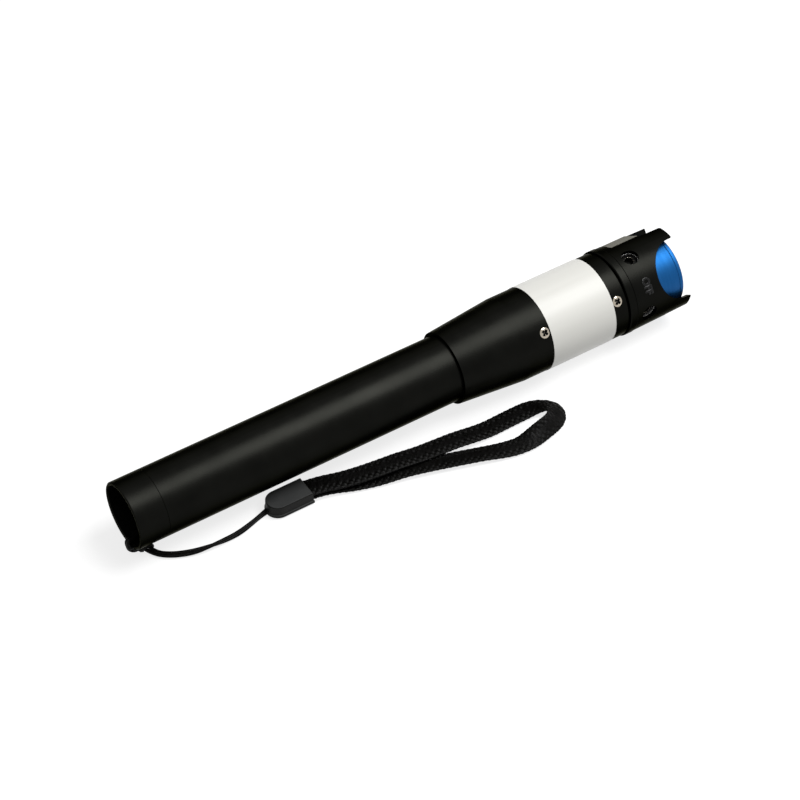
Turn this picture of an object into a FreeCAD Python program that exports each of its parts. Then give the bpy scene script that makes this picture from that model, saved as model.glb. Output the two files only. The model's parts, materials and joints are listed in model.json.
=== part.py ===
# Visual fault locator pen, lying on its side: tail on the left, lit end on the right.
# Lengths are in millimetres along the pen from the rim of the tail cap, radii from its axis.
# Angles about the axis run from the level side (+Y) over the top (+Z).
import math
import os

import FreeCAD
import Part
import Sketcher
from FreeCAD import Placement, Rotation, Vector

doc = FreeCAD.newDocument("fault_locator")

SIZES = {
    "running_gap": 0.05,
    "seam_gap": 0.1,
    # two cells end to end set the barrel
    "cell_radius": 7.25,
    "cell_length": 49.5,
    "cell_nub_radius": 2.75,
    "cell_nub_length": 1.0,
    "cell_gap": 0.25,
    "barrel_wall": 2.75,
    "barrel_radius": "=cell_radius + cell_gap + barrel_wall",
    # tail cap
    "cap_length": 9.2,
    "cap_wall": 1.15,
    "cap_hollow_depth": 7.8,
    "cap_floor": 2.2,
    "cap_floor_end": "=cap_hollow_depth + cap_floor",
    "spigot_radius": "=barrel_radius - 1.35",
    "spigot_length": 9.5,
    "spigot_wall": 1.9,
    "spigot_bore": "=spigot_radius - spigot_wall",
    "rim_bevel": 0.3,
    "cord_hole_radius": 1.45,
    "cord_hole_at": 5.4,
    "cap_seal_wire": 0.36,
    "cap_seal_at": "=cap_length + 2.2",
    "contact_thickness": 0.5,
    "spring_room": 14.5,
    "spring_coil_radius": 4.3,
    "spring_wire_radius": 0.4,
    "spring_turns": 5.0,
    "spring_pitch": "=(spring_room - 2 * spring_wire_radius - cell_gap) / spring_turns",
    # stations of the barrel
    "cell_start": "=cap_floor_end + contact_thickness + spring_room",
    "front_contact_room": 1.5,
    "barrel_end": "=cell_start + 2 * (cell_length + cell_nub_length) + front_contact_room",
    # head sleeve
    "sleeve_overlap": 21.4,
    "sleeve_start": "=barrel_end - sleeve_overlap",
    "sleeve_cone_length": 21.5,
    "sleeve_cone_end": "=sleeve_start + sleeve_cone_length",
    "sleeve_front_length": 35.5,
    "sleeve_end": "=barrel_end + sleeve_front_length",
    "sleeve_start_radius": "=barrel_radius + 1.05",
    "core_radius": "=barrel_radius + 1.5",
    "sleeve_wall": 1.4,
    "sleeve_radius": "=core_radius + running_gap + sleeve_wall",
    "edge_bevel": 0.25,
    "label_length": 22.2,
    "label_margin": 4.8,
    "label_end": "=sleeve_end - label_margin",
    "label_start": "=label_end - label_length",
    "label_thickness": 0.12,
    "screw_head_radius": 1.6,
    "screw_head_height": 0.8,
    "screw_head_top": "=sleeve_radius + 0.02",
    "screw_shank_radius": 1.0,
    "screw_rear_at": "=label_start - screw_head_radius - 0.2",
    "screw_front_at": "=label_end + screw_head_radius + 0.1",
    "screw_rear_angle": 142.1,
    "screw_front_angle": 144.8,
    # head core and what it carries
    "board_thickness": 1.0,
    "cavity_radius": "=core_radius - 2.25",
    "screw_foot": "=cavity_radius + 0.7",
    "cavity_end": "=sleeve_end - 1",
    "step_radius": "=core_radius - running_gap",
    "step_length": 3.2,
    "step_end": "=sleeve_end + step_length",
    "ring_seal_wire": 0.75,
    "ring_seal_at": "=sleeve_end + 1.95",
    "core_bore": 6.1,
    "laser_start": "=barrel_end + 12.5",
    "laser_end": "=step_end - 0.2",
    "laser_bore": 3.05,
    "diode_length": 4.5,
    "lens_at": "=laser_start + 12",
    "lens_thickness": 2.5,
    "board_start": "=barrel_end + 5",
    "board_length": 26.0,
    "board_width": 10.0,
    "board_lift": 0.3,
    "chip_start": "=board_start + 13.5",
    "chip_length": 6.0,
    "chip_width": 4.0,
    "chip_height": 1.2,
    "ferrule_bore": 1.26,
    "ferrule_wall": 0.94,
    "ferrule_length": 11.4,
    "ferrule_start": "=laser_end + 3",
    "ferrule_end": "=ferrule_start + ferrule_length",
    "holder_nose_radius": 5.0,
    "holder_end": "=ferrule_end + 0.6",
    # selector crown and the ring inside it
    "groove_width": 0.5,
    "collar_radius": "=sleeve_radius + 0.4",
    "collar_width": 2.5,
    "crown_rear_radius": "=collar_radius - 0.15",
    "crown_tip_radius": "=crown_rear_radius - 0.35",
    "crown_rear_bore": "=core_radius + 0.25",
    "crown_front_bore": "=crown_rear_bore - 0.45",
    "vee_depth": 0.15,
    "ring_length": 7.0,
    "ring_start": "=step_end + board_thickness",
    "ring_end": "=ring_start + ring_length",
    "crown_bore_step": "=ring_end + 0.2",
    "set_screw_at": "=ring_start + 3.2",
    "set_screw_radius": 2.5,
    "set_screw_gap": 0.15,
    "set_screw_top": "=crown_rear_bore + 0.1",
    "set_screw_foot": "=neck_radius + 0.4",
    # blue shroud inside the crown
    "shroud_start": "=ring_end + 0.5",
    "shroud_length": 9.9,
    "shroud_end": "=shroud_start + shroud_length",
    "shroud_radius": "=crown_front_bore - 0.35",
    "shroud_wall": 1.0,
    "shroud_bore": "=shroud_radius - shroud_wall",
    "shroud_flange": 1.5,
    "neck_radius": "=shroud_bore - 1.2",
    "neck_end": "=shroud_start + 4.3",
    # open end of the crown
    "crown_overhang": 1.4,
    "overall_length": "=shroud_end + crown_overhang",
    "scallop_radius": 9.1,
    "scallop_centre": "=overall_length - 1.7",
    "scallop_angle": 140.8,
    "notch_half_width": 4.3,
    "notch_bottom": "=overall_length - 7.5",
    "flat_angle": 50.8,
    "flat_start": "=sleeve_end + groove_width + collar_width + 2.2",
    "flat_height": "=crown_rear_radius - 0.73",
    "flat_label_width": 7.8,
    "flat_label_gap": 0.4,
    "tooth_corner": 0.6,
    # wrist strap
    "cord_diameter": 1.1,
    "knot_start": 0.9,
    "knot_length": 4.6,
    "knot_width": 4.9,
    "knot_side": -3.2,
    "knot_corner": 1.2,
    "slider_start": 39.4,
    "slider_end": 53.2,
    "slider_width": 7.8,
    "slider_height": 4.2,
    "slider_corner": 3.5,
    "slider_side": -10.2,
    "band_width": 6.2,
    "band_thickness": 1.3,
    "band_side": -10.0,
}
SET_SCREW_ANGLES = (98.3, 182.7, 278.3, 2.7)

sheet = doc.addObject("Spreadsheet::Sheet", "Sizes")
for row, (name, value) in enumerate(SIZES.items(), start=1):
    sheet.set("A%d" % row, name)
    sheet.set("B%d" % row, str(value))
    sheet.setAlias("B%d" % row, name)
doc.recompute()


class Size:
    """A length that remembers the sheet expression it comes from."""

    def __init__(self, value, text):
        self.value = value
        self.text = text

    def joined(self, other, sign, value):
        text = other.text if isinstance(other, Size) else "%g" % other
        return Size(value, "(%s %s %s)" % (self.text, sign, text))

    def __add__(self, other):
        return self.joined(other, "+", self.value + float(other))

    def __sub__(self, other):
        return self.joined(other, "-", self.value - float(other))

    def __mul__(self, other):
        return self.joined(other, "*", self.value * float(other))

    def __float__(self):
        return self.value


class Sheet:
    """The sheet's cells by name."""

    def __getattr__(self, name):
        return Size(float(sheet.get(name)), "Sizes." + name)


S = Sheet()
AXIS_HEIGHT = S.collar_radius
MIDDLE = S.overall_length * 0.5


# ---------------------------------------------------------------- shared steps

def seated(item):
    """Carry a piece from the pen's own axis to where the pen lies."""
    item.Placement = Placement(Vector(-float(MIDDLE), 0, float(AXIS_HEIGHT)), Rotation())
    item.setExpression("Placement.Base.x", "-" + MIDDLE.text)
    item.setExpression("Placement.Base.z", AXIS_HEIGHT.text)


def origin_plane(body, role):
    for item in body.Origin.OriginFeatures:
        if item.Role == role:
            return item
    raise RuntimeError("no plane " + role)


def outline_sketch(body, name, points):
    """A closed outline in the pen's upright plane, held by the sheet."""
    sketch = body.newObject("Sketcher::SketchObject", name)
    sketch.AttachmentSupport = (origin_plane(body, "XZ_Plane"), [""])
    sketch.MapMode = "FlatFace"
    spots = [Vector(float(along), float(out), 0) for along, out in points]
    count = len(spots)
    for index in range(count):
        line = Part.LineSegment(spots[index], spots[(index + 1) % count])
        sketch.addGeometry(line, False)
    constraint = Sketcher.Constraint
    for index in range(count):
        sketch.addConstraint(constraint("Coincident", index, 2, (index + 1) % count, 1))
    for index, (along, out) in enumerate(points):
        for kind, size, axis in (("DistanceX", along, -2), ("DistanceY", out, -1)):
            if isinstance(size, Size):
                held = sketch.addConstraint(constraint(kind, -1, 1, index, 1, float(size)))
                sketch.setExpression("Constraints[%d]" % held, size.text)
            else:
                sketch.addConstraint(constraint("PointOnObject", index, 1, axis))
    return sketch


def turned(label, points):
    """A turned piece: the outline swung once about the pen's axis."""
    body = doc.addObject("PartDesign::Body", label)
    sketch = outline_sketch(body, label + "_outline", points)
    swing = body.newObject("PartDesign::Revolution", label + "_turned")
    swing.Profile = sketch
    swing.ReferenceAxis = (sketch, ["H_Axis"])
    swing.Angle = 360
    sketch.Visibility = False
    seated(body)
    doc.recompute()
    return body


def ring(label, start, end, inner, outer):
    return turned(label, [(start, inner), (end, inner), (end, outer), (start, outer)])


def disc(label, start, end, outer):
    return turned(label, [(start, 0), (end, 0), (end, outer), (start, outer)])


def outward(along, angle, start):
    """Where a tool stands that points straight out of the axis."""
    turn = math.radians(angle)
    base = Vector(float(along), float(start) * math.cos(turn), float(start) * math.sin(turn))
    return Placement(base, Rotation(Vector(1, 0, 0), angle - 90))


def drilled(body, name, along, angle, start, height, radius):
    """A round hole or U-shaped cut made from the axis outward."""
    before = body.Shape.Volume
    tool = body.newObject("PartDesign::SubtractiveCylinder", name)
    tool.Height = float(height)
    tool.Radius = float(radius)
    tool.Placement = outward(along, float(angle), start)
    tool.setExpression("Radius", radius.text)
    tool.setExpression("Placement.Base.x", along.text)
    doc.recompute()
    if body.Shape.Volume >= before - 1e-6:
        raise RuntimeError(name + " cuts nothing")
    return tool


def milled(body, name, along, angle, start, sizes):
    """A straight-sided cut, from `along` towards the tip, made from `start` outward."""
    before = body.Shape.Volume
    length, width, height = [float(size) for size in sizes]
    spot = outward(along, float(angle), start)
    tool = body.newObject("PartDesign::SubtractiveBox", name)
    tool.Length = length
    tool.Width = width
    tool.Height = height
    side = spot.Rotation.multVec(Vector(0, -width / 2, 0))
    tool.Placement = Placement(spot.Base + side, spot.Rotation)
    tool.setExpression("Placement.Base.x", along.text)
    doc.recompute()
    if body.Shape.Volume >= before - 1e-6:
        raise RuntimeError(name + " cuts nothing")
    return tool


def rounded_corners(body, name, along, radius):
    """Round the corners of the teeth, the short straight edges across the end's wall."""
    end = float(along)
    last = body.Tip
    corners = []
    for index, edge in enumerate(last.Shape.Edges, start=1):
        straight = edge.Curve.TypeId == "Part::GeomLine" and edge.Length < 3
        if straight and all(abs(corner.X - end) < 0.01 for corner in edge.Vertexes):
            corners.append("Edge%d" % index)
    soft = body.newObject("PartDesign::Fillet", name)
    soft.Base = (last, corners)
    soft.Radius = float(radius)
    soft.setExpression("Radius", radius.text)
    doc.recompute()
    if len(corners) != 8 or body.Shape.Volume >= last.Shape.Volume:
        raise RuntimeError(name + " rounds %d edges" % len(corners))


def post(name, along, angle, foot, top, radius):
    """A round pin standing out of the axis, in the pen's own place."""
    pin = doc.addObject("Part::Cylinder", name)
    pin.Radius = float(radius)
    pin.Height = float(top) - float(foot)
    stand = outward(along, float(angle), foot)
    lift = Vector(-float(MIDDLE), 0, float(AXIS_HEIGHT))
    pin.Placement = Placement(stand.Base + lift, stand.Rotation)
    pin.setExpression("Radius", radius.text)
    pin.setExpression("Placement.Base.x", "%s - %s" % (along.text, MIDDLE.text))
    return pin


def grouped(label, kind, items):
    group = doc.addObject(kind, label)
    if kind == "Part::Compound":
        group.Links = items
    else:
        group.Shapes = items
    for item in items:
        item.Visibility = False
    doc.recompute()
    return group


def plain(label, shape):
    piece = doc.addObject("Part::Feature", label)
    piece.Shape = shape
    return piece


# ---------------------------------------------------------------- tail cap

def make_tail_cap():
    inner = S.barrel_radius - S.cap_wall
    groove = S.spigot_radius - S.cap_seal_wire * 2
    seal_half = S.cap_seal_wire + S.running_gap
    end = S.cap_length + S.spigot_length
    cap = turned("tail_cap", [
        (0, inner + S.rim_bevel), (0, S.barrel_radius - S.rim_bevel),
        (S.rim_bevel, S.barrel_radius), (S.cap_length, S.barrel_radius),
        (S.cap_length, S.spigot_radius), (S.cap_seal_at - seal_half, S.spigot_radius),
        (S.cap_seal_at - seal_half, groove), (S.cap_seal_at + seal_half, groove),
        (S.cap_seal_at + seal_half, S.spigot_radius), (end, S.spigot_radius),
        (end, S.spigot_bore), (S.cap_floor_end, S.spigot_bore),
        (S.cap_floor_end, 0), (S.cap_hollow_depth, 0),
        (S.cap_hollow_depth, inner), (S.rim_bevel, inner),
    ])
    drilled(cap, "cord_hole", S.cord_hole_at, 270, S.spigot_bore, 5, S.cord_hole_radius)


def make_cap_seal():
    seal = doc.addObject("Part::Torus", "cap_seal")
    seal.Radius1 = float(S.spigot_radius) - float(S.cap_seal_wire)
    seal.Radius2 = float(S.cap_seal_wire) - 0.01
    spot = Vector(float(S.cap_seal_at) - float(MIDDLE), 0, float(AXIS_HEIGHT))
    seal.Placement = Placement(spot, Rotation(Vector(0, 1, 0), 90))


def make_tail_contact():
    disc("tail_contact", S.cap_floor_end, S.cap_floor_end + S.contact_thickness,
         S.spigot_bore - S.running_gap)


def make_tail_spring():
    """Coil spring between the contact plate and the rear cell, of eight-sided wire."""
    coil = float(S.spring_coil_radius)
    rise = float(S.spring_pitch) / 360
    wire = float(S.spring_wire_radius)
    start = float(S.cap_floor_end) + float(S.contact_thickness) + wire - float(MIDDLE)
    sections = []
    for turn in range(0, int(360 * float(S.spring_turns)) + 1, 20):
        angle = math.radians(turn)
        out = Vector(0, math.cos(angle), math.sin(angle))
        ahead = Vector(math.degrees(rise), -coil * math.sin(angle), coil * math.cos(angle))
        across = out.cross(ahead).normalize()
        centre = Vector(start + rise * turn, 0, float(AXIS_HEIGHT)) + out * coil
        corners = []
        for side in range(8):
            swing = math.radians(45 * side + 22.5)
            corners.append(centre + out * (wire * math.cos(swing))
                           + across * (wire * math.sin(swing)))
        sections.append(Part.makePolygon(corners + corners[:1]))
    spring = Part.makeLoft(sections, True, True)
    plain("tail_spring", spring)
    length = math.hypot(2 * math.pi * coil, rise * 360) * float(S.spring_turns)
    share = spring.Volume / (length * 2 * math.sqrt(2) * wire ** 2)
    print("spring volume against wire length times section: %.3f" % share)


# ---------------------------------------------------------------- battery barrel

def make_barrel():
    bore = S.cell_radius + S.cell_gap
    start = S.cap_length + S.seam_gap
    counterbore = S.spigot_radius + S.running_gap
    shoulder = S.cap_length + S.spigot_length + S.cell_gap
    turned("battery_barrel", [
        (start, counterbore), (shoulder, counterbore), (shoulder, bore),
        (S.barrel_end, bore), (S.barrel_end, S.barrel_radius), (start, S.barrel_radius),
    ])


def make_cell(label, start):
    shoulder = start + S.cell_length
    end = shoulder + S.cell_nub_length
    turned(label, [
        (start, 0), (end, 0), (end, S.cell_nub_radius), (shoulder, S.cell_nub_radius),
        (shoulder, S.cell_radius), (start, S.cell_radius),
    ])
    return end


def make_front_contact(start):
    """Cupped leaf that the front cell's nub presses."""
    end = S.barrel_end
    cup = S.cell_nub_radius + S.cell_gap
    foot = S.cell_radius
    turned("front_contact", [
        (start, 0), (start + S.contact_thickness, 0), (end, cup), (end, foot),
        (end - S.contact_thickness, foot), (end - S.contact_thickness, cup), (start, cup),
    ])


# ---------------------------------------------------------------- head sleeve

def make_head_sleeve():
    rear_bore = S.barrel_radius + S.running_gap
    front_bore = S.core_radius + S.running_gap
    sleeve = turned("head_sleeve", [
        (S.sleeve_start, rear_bore), (S.barrel_end, rear_bore), (S.barrel_end, front_bore),
        (S.sleeve_end, front_bore), (S.sleeve_end, S.sleeve_radius - S.edge_bevel),
        (S.sleeve_end - S.edge_bevel, S.sleeve_radius), (S.sleeve_cone_end, S.sleeve_radius),
        (S.sleeve_start, S.sleeve_start_radius),
    ])
    places = ((S.screw_rear_at, S.screw_rear_angle), (S.screw_front_at, S.screw_front_angle))
    seat = S.screw_head_top - S.screw_head_height
    for index, (along, angle) in enumerate(places):
        drilled(sleeve, "screw_seat_%d" % index, along, angle, seat, 2,
                S.screw_head_radius + S.running_gap)
        drilled(sleeve, "screw_hole_%d" % index, along, angle, S.screw_foot, 4,
                S.screw_shank_radius + S.running_gap * 2)


def make_body_label():
    ring("body_label", S.label_start, S.label_end, S.sleeve_radius,
         S.sleeve_radius + S.label_thickness)


def make_sleeve_screws():
    places = ((S.screw_rear_at, S.screw_rear_angle), (S.screw_front_at, S.screw_front_angle))
    seat = S.screw_head_top - S.screw_head_height
    screws = []
    for index, (along, angle) in enumerate(places):
        head = post("screw_head_%d" % index, along, angle, seat, S.screw_head_top,
                    S.screw_head_radius)
        shank = post("screw_shank_%d" % index, along, angle, S.screw_foot, seat,
                     S.screw_shank_radius)
        screws.append(grouped("sleeve_screw_%d" % index, "Part::MultiFuse", [head, shank]))
    grouped("sleeve_screws", "Part::Compound", screws)


# ---------------------------------------------------------------- head core

def make_contact_board():
    disc("contact_board", S.barrel_end + S.seam_gap,
         S.barrel_end + S.seam_gap + S.board_thickness, S.core_radius)


def make_head_core():
    start = S.barrel_end + S.seam_gap + S.board_thickness
    seal_half = S.ring_seal_wire + S.running_gap
    groove = S.crown_rear_bore - S.running_gap - S.ring_seal_wire * 2 - S.running_gap
    core = turned("head_core", [
        (start, S.cavity_radius), (S.cavity_end, S.cavity_radius),
        (S.cavity_end, S.core_bore), (S.neck_end, S.core_bore),
        (S.neck_end, S.neck_radius), (S.step_end, S.neck_radius),
        (S.step_end, S.step_radius), (S.ring_seal_at + seal_half, S.step_radius),
        (S.ring_seal_at + seal_half, groove), (S.ring_seal_at - seal_half, groove),
        (S.ring_seal_at - seal_half, S.step_radius), (S.sleeve_end, S.step_radius),
        (S.sleeve_end, S.core_radius), (start, S.core_radius),
    ])
    drilled(core, "thread_0", S.screw_rear_at, S.screw_rear_angle, S.cavity_radius - 1, 4,
            S.screw_shank_radius + S.running_gap)
    drilled(core, "thread_1", S.screw_front_at, S.screw_front_angle, S.cavity_radius - 1, 4,
            S.screw_shank_radius + S.running_gap)


def block(label, corner, sides):
    """A plain block standing at a corner given along, across and above the axis."""
    item = doc.addObject("Part::Box", label)
    item.Length = float(sides[0])
    item.Width = float(sides[1])
    item.Height = float(sides[2])
    spot = Vector(float(corner[0]) - float(MIDDLE), float(corner[1]),
                  float(AXIS_HEIGHT) + float(corner[2]))
    item.Placement = Placement(spot, Rotation())
    item.setExpression("Length", sides[0].text)
    item.setExpression("Width", sides[1].text)
    item.setExpression("Height", sides[2].text)
    item.setExpression("Placement.Base.x", "%s - %s" % (corner[0].text, MIDDLE.text))


def make_driver():
    """Driver board beside the laser, with its chip."""
    lift = S.core_bore + S.board_lift
    block("driver_board", (S.board_start, S.board_width * -0.5, lift),
          (S.board_length, S.board_width, S.board_thickness))
    block("driver_chip", (S.chip_start, S.chip_width * -0.5, lift + S.board_thickness),
          (S.chip_length, S.chip_width, S.chip_height))


def make_laser():
    """Laser module: housing, diode, lens and the ring that holds the lens."""
    slip = S.laser_bore - S.running_gap
    ring("laser_housing", S.laser_start, S.laser_end, S.laser_bore, S.core_bore - S.running_gap)
    base = S.laser_start + 1
    end = base + S.diode_length
    turned("laser_diode", [
        (base, 0), (end, 0), (end, S.laser_bore - 0.7), (base + 1.2, S.laser_bore - 0.7),
        (base + 1.2, slip), (base, slip),
    ])
    lens_end = S.lens_at + S.lens_thickness
    disc("focusing_lens", S.lens_at, lens_end, slip)
    ring("lens_retainer", lens_end, lens_end + 2, S.laser_bore - 1.2, slip)


def make_ferrule_parts():
    bore = S.ferrule_bore + S.ferrule_wall
    slip = S.core_bore - S.running_gap
    turned("ferrule_holder", [
        (S.laser_end, S.ferrule_bore - 0.4), (S.ferrule_start, S.ferrule_bore - 0.4),
        (S.ferrule_start, bore), (S.holder_end, bore),
        (S.holder_end, S.holder_nose_radius), (S.neck_end + S.seam_gap, S.holder_nose_radius),
        (S.neck_end + S.seam_gap, slip), (S.laser_end, slip),
    ])
    ring("ferrule_sleeve", S.ferrule_start, S.ferrule_end, S.ferrule_bore, bore)


def make_blue_shroud():
    lip = 0.35
    line = S.shroud_end - 1.4
    turned("blue_shroud", [
        (S.shroud_start, S.neck_radius + S.seam_gap * 0.2),
        (S.shroud_start + S.shroud_flange, S.neck_radius + S.seam_gap * 0.2),
        (S.shroud_start + S.shroud_flange, S.shroud_bore), (S.shroud_end, S.shroud_bore),
        (S.shroud_end, S.shroud_radius - lip), (S.shroud_end - lip, S.shroud_radius),
        (line + S.vee_depth, S.shroud_radius), (line, S.shroud_radius - S.vee_depth),
        (line - S.vee_depth, S.shroud_radius), (S.shroud_start, S.shroud_radius),
    ])


def make_crown_seal():
    seal = doc.addObject("Part::Torus", "crown_seal")
    seal.Radius1 = float(S.crown_rear_bore) - float(S.running_gap) - float(S.ring_seal_wire)
    seal.Radius2 = float(S.ring_seal_wire)
    spot = Vector(float(S.ring_seal_at) - float(MIDDLE), 0, float(AXIS_HEIGHT))
    seal.Placement = Placement(spot, Rotation(Vector(0, 1, 0), 90))


def make_switch_board():
    ring("switch_board", S.step_end, S.ring_start - 0.25, S.neck_radius + S.running_gap,
         S.step_radius)


def make_friction_washer():
    ring("friction_washer", S.ring_end + S.running_gap, S.shroud_start,
         S.neck_radius + S.running_gap, S.crown_front_bore - S.cell_gap)


# ---------------------------------------------------------------- selector crown

def make_selector_crown():
    start = S.sleeve_end + S.groove_width
    collar_end = start + S.collar_width
    crown = turned("selector_crown", [
        (start, S.crown_rear_bore), (S.crown_bore_step, S.crown_rear_bore),
        (S.crown_bore_step, S.crown_front_bore), (S.overall_length, S.crown_front_bore),
        (S.overall_length, S.crown_tip_radius), (collar_end + S.vee_depth, S.crown_rear_radius),
        (collar_end, S.crown_rear_radius - S.vee_depth),
        (collar_end - S.vee_depth, S.collar_radius), (start + S.edge_bevel, S.collar_radius),
        (start, S.collar_radius - S.edge_bevel),
    ])
    cut = 20
    for index in range(2):
        turn = S.scallop_angle + 180 * index
        drilled(crown, "scallop_%d" % index, S.scallop_centre, turn, 0, cut, S.scallop_radius)
        milled(crown, "scallop_sides_%d" % index, S.scallop_centre, turn, 0,
               (cut, S.scallop_radius * 2, cut))
        across = S.flat_angle + 180 * index
        milled(crown, "notch_%d" % index, S.notch_bottom, across, 0,
               (cut, S.notch_half_width * 2, cut))
    milled(crown, "flat", S.flat_start, S.flat_angle, S.flat_height,
           (cut, S.notch_half_width * 4, cut))
    rounded_corners(crown, "tooth_corners", S.overall_length, S.tooth_corner)
    for index, angle in enumerate(SET_SCREW_ANGLES):
        drilled(crown, "set_screw_hole_%d" % index, S.set_screw_at, angle, 0, cut,
                S.set_screw_radius + S.set_screw_gap)


def make_selector_ring():
    selector = ring("selector_ring", S.ring_start, S.ring_end, S.neck_radius + S.running_gap,
                    S.crown_rear_bore - S.running_gap)
    for index, angle in enumerate(SET_SCREW_ANGLES):
        drilled(selector, "thread_%d" % (index + 2), S.set_screw_at, angle, 0, 20,
                S.set_screw_radius + S.running_gap)


def make_crown_set_screws():
    screws = []
    for index, angle in enumerate(SET_SCREW_ANGLES):
        screws.append(post("set_screw_%d" % index, S.set_screw_at, angle, S.set_screw_foot,
                           S.set_screw_top, S.set_screw_radius))
    grouped("crown_set_screws", "Part::Compound", screws)


def make_contact_wiper():
    ring("contact_wiper", S.ring_start - 0.2, S.ring_start, S.neck_radius + 0.4,
         S.step_radius - 0.5)


def make_crown_label():
    """Blank plate lying on the crown's flat."""
    width = float(S.flat_label_width)
    plate = doc.addObject("Part::Box", "crown_label")
    start = S.flat_start + S.flat_label_gap
    plate.Length = float(S.notch_bottom) - float(start) - float(S.flat_label_gap)
    plate.Width = width
    plate.Height = float(S.label_thickness)
    spot = outward(start, float(S.flat_angle), S.flat_height)
    side = spot.Rotation.multVec(Vector(0, -width / 2, 0))
    lift = Vector(-float(MIDDLE), 0, float(AXIS_HEIGHT))
    plate.Placement = Placement(spot.Base + side + lift, spot.Rotation)


# ---------------------------------------------------------------- wrist strap

def rounded_route(points):
    """Straight runs with an arc at each corner: pieces as (start, middle, end)."""
    pieces = []
    last = points[0]
    for index in range(1, len(points) - 1):
        here = points[index]
        back = points[index - 1] - here
        ahead = points[index + 1] - here
        cut = 0.45 * min(back.Length, ahead.Length)
        back.normalize()
        ahead.normalize()
        half = back.getAngle(ahead) / 2
        radius = cut * math.tan(half)
        enter = here + back * cut
        leave = here + ahead * cut
        inward = (back + ahead).normalize()
        centre = here + inward * (cut / math.cos(half))
        pieces.append((last, None, enter))
        pieces.append((enter, centre - inward * radius, leave))
        print("  corner %d: radius %.1f mm" % (index, radius))
        last = leave
    pieces.append((last, None, points[-1]))
    return pieces


def route_edges(pieces):
    edges = []
    for start, middle, end in pieces:
        if middle is None:
            edges.append(Part.LineSegment(start, end).toShape())
        else:
            edges.append(Part.Arc(start, middle, end).toShape())
    return edges


def tube_along(points, diameter):
    edges = route_edges(rounded_route(points))
    wire = Part.Wire(edges)
    circle = Part.Circle(points[0], points[1] - points[0], diameter / 2)
    tube = wire.makePipeShell([Part.Wire([circle.toShape()])], True, False)
    share = tube.Volume / (wire.Length * math.pi * diameter ** 2 / 4)
    print("cord %.1f mm long, volume against section times length %.3f" % (wire.Length, share))
    return tube


def from_rim(along, side, height):
    return Vector(along - float(MIDDLE), side, height)


def make_strap_cord():
    """Thin cord, folded once, from the hitch on the cap to the slider."""
    thick = float(S.cord_diameter)
    low = thick / 2 + 0.02
    outer = [from_rim(*spot, low) for spot in (
        (3.7, -2.7), (4.6, -6.6), (8.6, -10.0), (16.4, -12.1), (25.0, -13.1), (33.0, -11.8),
        (40.0, -10.5))]
    inner = [from_rim(*spot, low) for spot in (
        (5.2, -2.7), (6.0, -6.0), (9.4, -8.8), (16.8, -10.8), (25.0, -11.8), (32.8, -10.5),
        (40.0, -9.25))]
    pieces = [tube_along(outer, thick), tube_along(inner, thick)]
    plain("strap_cord", Part.makeCompound(pieces))


def make_strap_knot():
    """Hitch of the cord: a turn through the hole and round the rim, and the knot under it."""
    thick = float(S.cord_diameter)
    middle = float(MIDDLE)
    wall_low = float(AXIS_HEIGHT) - float(S.barrel_radius)
    wall_high = wall_low + float(S.cap_wall)
    hole = float(S.cord_hole_at)
    width = thick * 2.1
    low = wall_low - 0.02 - thick
    high = wall_high + 0.12 + thick
    start = -0.05 - thick
    end = hole + thick / 2
    outer = Part.makeBox(end - start, width, high - low,
                         Vector(start - middle, -width / 2, low))
    outer = outer.makeFillet(0.5, [edge for edge in outer.Edges
                                   if abs(edge.Vertexes[0].Y - edge.Vertexes[1].Y) > 1])
    inner = Part.makeBox(end - start - 2 * thick, width + 2, high - low - 2 * thick,
                         Vector(start + thick - middle, -width / 2 - 1, low + thick))
    turn = outer.cut(inner)
    lump = Part.makeBox(float(S.knot_length), float(S.knot_width), low + 0.3,
                        Vector(float(S.knot_start) - middle, float(S.knot_side), 0))
    upright = [edge for edge in lump.Edges
               if abs(edge.Vertexes[0].Z - edge.Vertexes[1].Z) > 1]
    lump = lump.makeFillet(float(S.knot_corner), upright)
    plain("strap_knot", turn.fuse(lump).removeSplitter())


def make_strap_slider():
    """Moulded slider: slot for the webbing at one end, hole for the cord at the other."""
    start = float(S.slider_start)
    length = float(S.slider_end) - start
    width = float(S.slider_width)
    height = float(S.slider_height)
    side = float(S.slider_side) - width / 2
    block = Part.makeBox(length, width, height, from_rim(start, side, 0))
    rear = [edge for edge in block.Edges
            if abs(edge.Vertexes[0].Z - edge.Vertexes[1].Z) > 1
            and edge.Vertexes[0].X < start + 1 - float(MIDDLE)]
    block = block.makeFillet(float(S.slider_corner), rear)
    slot_width = float(S.band_width) + 0.3
    slot_height = 2 * float(S.band_thickness) + 0.3
    slot = Part.makeBox(length - 3, slot_width, slot_height,
                        from_rim(start + 4, float(S.band_side) - slot_width / 2, 0.55))
    plain("strap_slider", block.cut(slot))


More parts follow.
